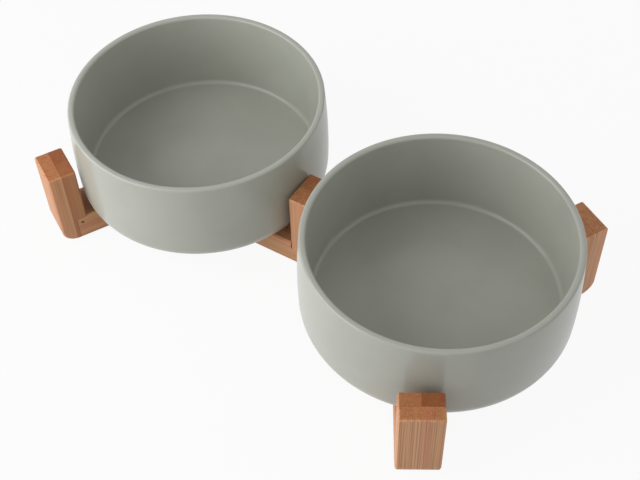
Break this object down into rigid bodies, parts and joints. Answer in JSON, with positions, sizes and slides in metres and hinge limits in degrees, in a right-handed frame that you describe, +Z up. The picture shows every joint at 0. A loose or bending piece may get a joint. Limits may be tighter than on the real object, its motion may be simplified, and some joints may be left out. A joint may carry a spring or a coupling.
{
  "type": "pet bowl with stand",
  "caption": "Low bamboo stand with lapped and pinned posts that holds round matte stoneware pet bowls side by side; each bowl lifts out to be filled or washed.",
  "frame": {"origin": "on the ground under the middle of the stand", "axes": "+X along the spine rail from the left bowl to the right bowl, +Z up"},
  "size_m": [0.3284, 0.2148, 0.0813],
  "materials": {
    "glaze": "matte grey-green glaze",
    "bamboo": "carbonised laminated bamboo, satin",
    "key_wood": "bare bamboo",
    "pin_steel": "dark oxidised",
    "rubber": "matte"
  },
  "bodies": {
    "stand": {"spine_rail": "bamboo", "middle_post": "bamboo", "left_front_rail": "bamboo", "left_front_post": "bamboo", "left_rear_rail": "bamboo", "left_rear_post": "bamboo", "right_front_rail": "bamboo", "right_front_post": "bamboo", "right_rear_rail": "bamboo", "right_rear_post": "bamboo", "left_hub_keys": "key_wood", "right_hub_keys": "key_wood", "middle_post_key": "key_wood", "post_pins": "pin_steel", "left_front_pad": "rubber", "left_rear_pad": "rubber", "right_front_pad": "rubber", "right_rear_pad": "rubber", "middle_pad": "rubber"},
    "left_bowl": {"left_bowl": "glaze"},
    "right_bowl": {"right_bowl": "glaze"}
  },
  "joints": [
    {"name": "left_bowl_lift", "type": "slide", "parent": "stand", "child": "left_bowl", "axis": [0, 0, 1], "range_m": [0, 0.06]},
    {"name": "right_bowl_lift", "type": "slide", "parent": "stand", "child": "right_bowl", "axis": [0, 0, 1], "range_m": [0, 0.06]}
  ]
}
